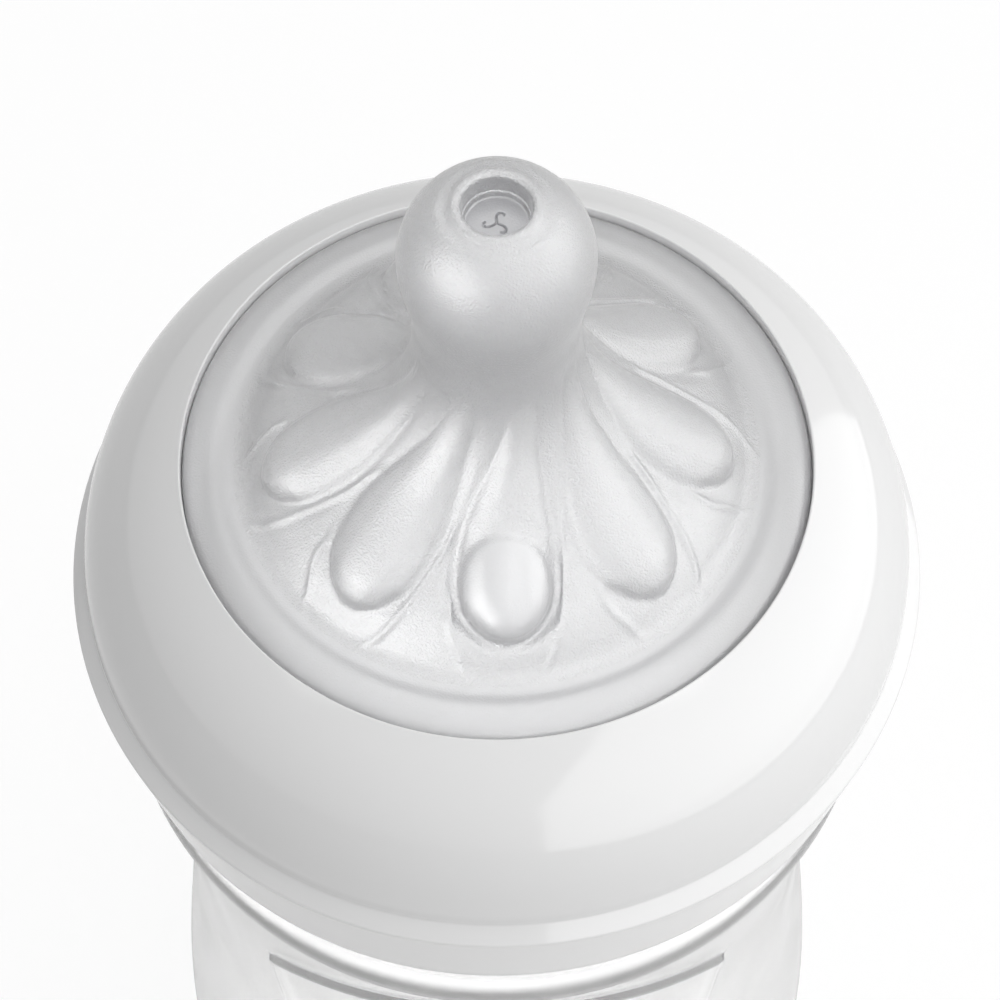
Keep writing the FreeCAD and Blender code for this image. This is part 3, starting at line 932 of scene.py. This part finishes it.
def photo_camera():
    """The camera that took the photograph, from its fit to the ring's circles."""
    distance, height_angle, pitch = 212.5, math.radians(58.507), math.radians(59.545)  # from the opening
    focal_pixels, frame_pixels, axis_pixel = 2691.4, 1000, 496.75
    data = bpy.data.cameras.new("photo_camera")
    data.sensor_width = 36
    data.lens = data.sensor_width * focal_pixels / frame_pixels
    data.shift_x = 0.5 - axis_pixel / frame_pixels
    camera = bpy.data.objects.new("photo_camera", data)
    camera.location = Vector((
        0, -distance * math.cos(height_angle), distance * math.sin(height_angle) + opening_level
    )) * MM
    camera.rotation_euler = (math.pi / 2 - pitch, 0, 0)
    bpy.context.scene.collection.objects.link(camera)
    bpy.context.scene.camera = camera


def softbox(name, place, towards, size, radiance, diffuse=True, glossy=True, only=()):
    """A softbox, which may be left out of dull light or of reflections, or be for some pieces only."""
    data = bpy.data.lights.new(name, "AREA")
    data.shape = "RECTANGLE"
    data.size, data.size_y = size
    data.energy = radiance * math.pi * data.size * data.size_y
    lamp = bpy.data.objects.new(name, data)
    lamp.location = place
    lamp.rotation_euler = (Vector(towards) - Vector(place)).to_track_quat("-Z", "Y").to_euler()
    lamp.visible_diffuse = diffuse
    lamp.visible_glossy = glossy
    bpy.context.scene.collection.objects.link(lamp)
    if only:
        lit = bpy.data.collections.new(name + "_lit")
        for piece in only:
            lit.objects.link(piece)
        lamp.light_linking.receiver_collection = lit


def white_floor():
    """A wide seamless floor."""
    half = 4.0
    mesh = bpy.data.meshes.new("floor")
    corners = [(-half, -half, 0), (half, -half, 0), (half, half, 0), (-half, half, 0)]
    mesh.from_pydata(corners, [], [(0, 1, 2, 3)])
    mesh.materials.append(studio_white())
    floor = bpy.data.objects.new("floor", mesh)
    bpy.context.scene.collection.objects.link(floor)
    return floor


def pale_room():
    """A room that lights softly, and is white where it is looked at or mirrored."""
    room_light, seen_through = 0.22, 0.74
    world = bpy.data.worlds.new("pale_room")
    bpy.context.scene.world = world
    world.use_nodes = True
    tree = world.node_tree
    tree.nodes.clear()
    rays = add(tree, "ShaderNodeLightPath").outputs
    white = add(
        tree, "ShaderNodeMath", {0: rays["Is Camera Ray"], 1: rays["Is Glossy Ray"]}, operation="MAXIMUM"
    )
    through = add(
        tree, "ShaderNodeMath", {0: rays["Is Transmission Ray"], 1: seen_through}, operation="MULTIPLY"
    )
    seen = add(tree, "ShaderNodeMath", {0: white, 1: through}, operation="MAXIMUM")
    strength = add(tree, "ShaderNodeMapRange", {"Value": seen, "To Min": room_light, "To Max": 1.0})
    room = add(tree, "ShaderNodeBackground", {"Color": (1, 1, 1, 1), "Strength": strength})
    add(tree, "ShaderNodeOutputWorld", {"Surface": room})


def studio(soft, hard):
    """A white floor in a pale room, large softboxes, and cards that only the soft pieces mirror."""
    hard = hard + [white_floor()]
    side, side_way, side_size = (0.5, -1.2, 0.8), (0, -1.2, 0.8), (3.2, 1.55)
    behind_side, other_side = (0.51, -1.2, 0.8), (-0.5, -1.2, 0.8)
    bulb, dome = (0, 0, 0.16), (0, 0, 0.145)
    softbox("right_softbox", side, side_way, side_size, 0.98, only=hard)
    softbox("right_card", behind_side, side_way, side_size, 0.6, diffuse=False, only=hard)
    softbox("left_softbox", other_side, side_way, side_size, 0.05, glossy=False)
    softbox("front_softbox", (0, -1.6, 0.7), (0, 0, 0.7), (1.8, 0.9), 0.72, glossy=False)
    softbox("top_softbox", (0, 0.35, 1.25), (0, 0.35, 0), (1.7, 1.5), 0.85)
    softbox("teat_right_softbox", side, side_way, side_size, 0.75, only=soft)
    for name, place, towards, size, radiance in (
        ("teat_left_card", (-0.363, -0.327, 0.264), bulb, (0.6, 0.4), 2.4),
        ("teat_front_card", (0.05, -0.30, 0.545), dome, (0.3, 0.25), 1.2),
        ("teat_right_card", (0.476, -0.042, 0.306), bulb, (0.35, 0.35), 0.8),
    ):
        softbox(name, place, towards, size, radiance, diffuse=False, only=soft)
    pale_room()
    bpy.context.scene.view_settings.view_transform = "Standard"


thread = thread_relief()
teat = make_teat()
ring = make_ring(thread)
bottle = make_bottle(thread)
photo_camera()
studio([teat], [ring, bottle])
